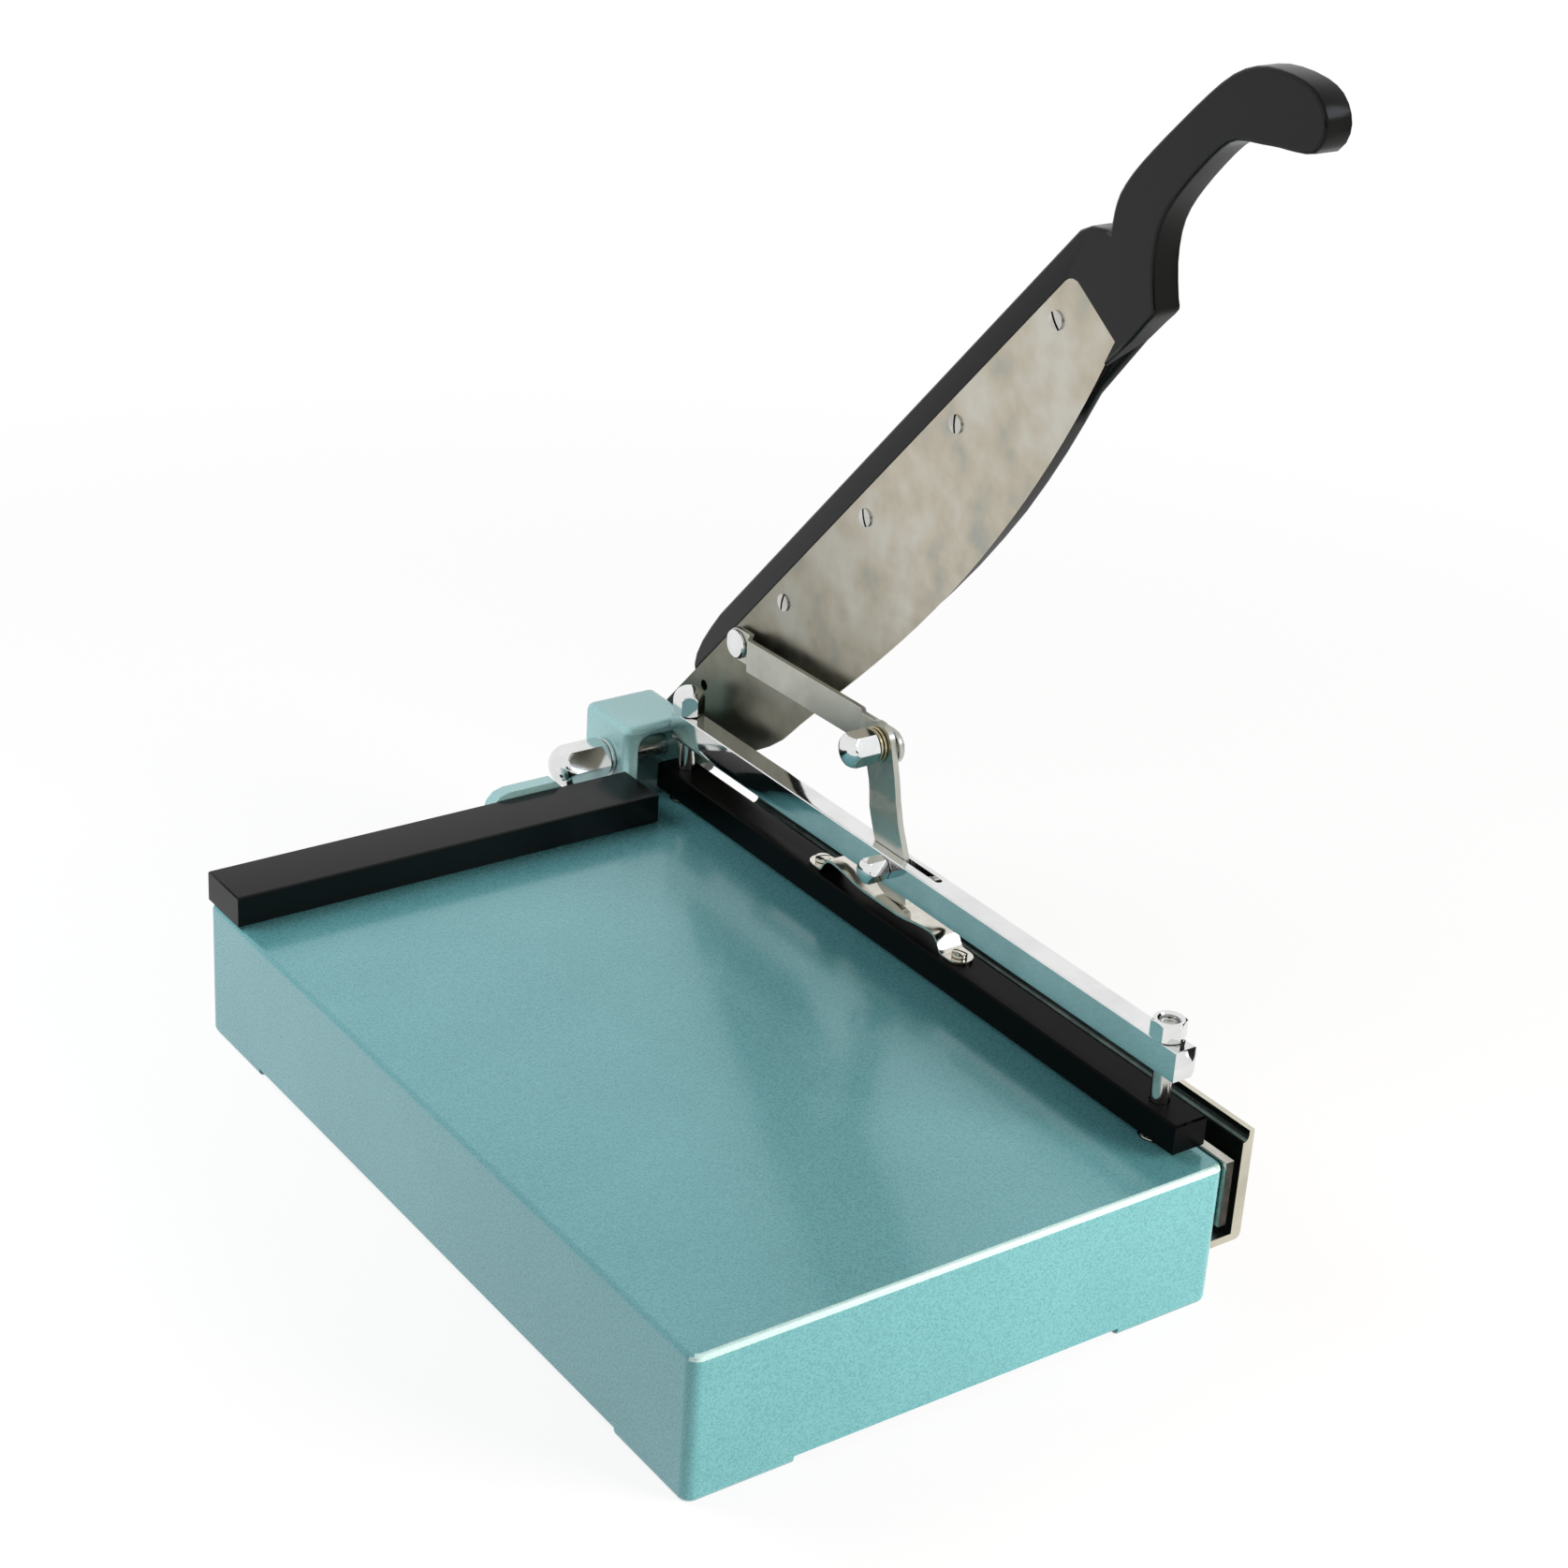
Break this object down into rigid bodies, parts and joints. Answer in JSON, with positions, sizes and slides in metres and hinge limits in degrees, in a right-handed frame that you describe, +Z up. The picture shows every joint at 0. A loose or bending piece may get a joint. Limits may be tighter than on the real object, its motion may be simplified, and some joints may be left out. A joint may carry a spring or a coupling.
{
  "type": "sample strip cutter",
  "caption": "Desk strip cutter: cast base, hinged blade on a cast lever, bed knife, back fence, side stop rail and a clamp bar that the lever presses down through a link and cam.",
  "frame": {"origin": "under the middle of the whole machine's box, on the surface that its feet stand on, with the lever raised", "axes": "+X from the fence's side to the blade's side, +Y from the user to the hinge bracket, +Z up"},
  "size_m": [0.2786, 0.423, 0.4815],
  "materials": {
    "teal_enamel": "teal hammered enamel, semi-gloss",
    "black_lacquer": "black lacquer, satin faces with glossy rims",
    "ground_steel": "ground bare steel, satin",
    "polished_chrome": "polished bright plating",
    "yellow_brass": "yellow passivated, satin",
    "blackened_bolt": "blackened steel, satin"
  },
  "bodies": {
    "frame": {"base_casting": "teal_enamel", "bed_knife": "ground_steel", "bed_knife_screw_1": "blackened_bolt", "bed_knife_screw_2": "blackened_bolt", "bed_knife_screw_3": "blackened_bolt", "bed_knife_screw_4": "blackened_bolt", "bed_knife_screw_5": "blackened_bolt", "back_fence": "black_lacquer", "fence_screw_1": "blackened_bolt", "fence_screw_2": "blackened_bolt", "fence_screw_3": "blackened_bolt", "stop_rail": "polished_chrome", "stop_rail_screw_1": "blackened_bolt", "stop_rail_screw_2": "blackened_bolt", "stop_rail_screw_3": "blackened_bolt", "hinge_bracket": "teal_enamel", "bracket_bolt_1": "blackened_bolt", "bracket_bolt_2": "blackened_bolt", "bracket_bolt_3": "blackened_bolt", "bracket_bolt_4": "blackened_bolt", "pivot_cap_washer": "polished_chrome", "pivot_cap_nut": "polished_chrome", "pivot_inner_washer": "ground_steel", "pivot_outer_washer": "ground_steel", "pivot_lock_nut": "polished_chrome", "pivot_shaft": "ground_steel", "clamp_beam": "polished_chrome", "guide_post_front": "ground_steel", "guide_post_rear": "ground_steel", "front_post_nut": "polished_chrome", "rear_post_cap_nut": "polished_chrome", "riser_cap_nut": "polished_chrome", "riser_pin": "ground_steel", "beam_cross_pin": "ground_steel", "return_spring_front": "ground_steel", "return_spring_rear": "ground_steel"},
    "lever": {"lever_arm": "black_lacquer", "blade": "ground_steel", "blade_screw_1": "ground_steel", "blade_screw_2": "ground_steel", "blade_screw_3": "ground_steel", "blade_screw_4": "ground_steel", "link_bolt": "ground_steel", "link_collar": "ground_steel"},
    "link": {"lift_link": "ground_steel"},
    "riser": {"riser_strap": "ground_steel", "knee_washer_1": "yellow_brass", "knee_washer_2": "yellow_brass", "knee_cap_nut": "polished_chrome", "knee_stud": "ground_steel"},
    "clamp": {"clamp_bar": "black_lacquer", "leaf_spring": "polished_chrome", "leaf_spring_screw_front": "yellow_brass", "leaf_spring_screw_rear": "yellow_brass"}
  },
  "joints": [
    {"name": "lever_hinge", "type": "hinge", "parent": "frame", "child": "lever", "pos_m": [0.11635, 0.1905, 0.079], "axis": [1, 0, 0], "range_deg": [0, 50]},
    {"name": "link_pivot", "type": "hinge", "parent": "lever", "child": "link", "pos_m": [0.1071, 0.14025, 0.14938], "axis": [1, 0, 0], "range_deg": [-81.5, 0]},
    {"name": "riser_pivot", "type": "hinge", "parent": "frame", "child": "riser", "pos_m": [0.1003, -0.0005, 0.102], "axis": [1, 0, 0], "range_deg": [0, 24.1]},
    {"name": "clamp_slide", "type": "slide", "parent": "frame", "child": "clamp", "axis": [0, 0, 1], "range_m": [-0.0022, 0], "deforming": ["return_spring_front", "return_spring_rear"]}
  ],
  "couplings": [
    {"joint": "link_pivot", "follows": "lever_hinge", "ratio": -1.6285},
    {"joint": "riser_pivot", "follows": "lever_hinge", "ratio": 0.4816},
    {"joint": "clamp_slide", "follows": "lever_hinge", "m_per_rad": -0.002521}
  ]
}
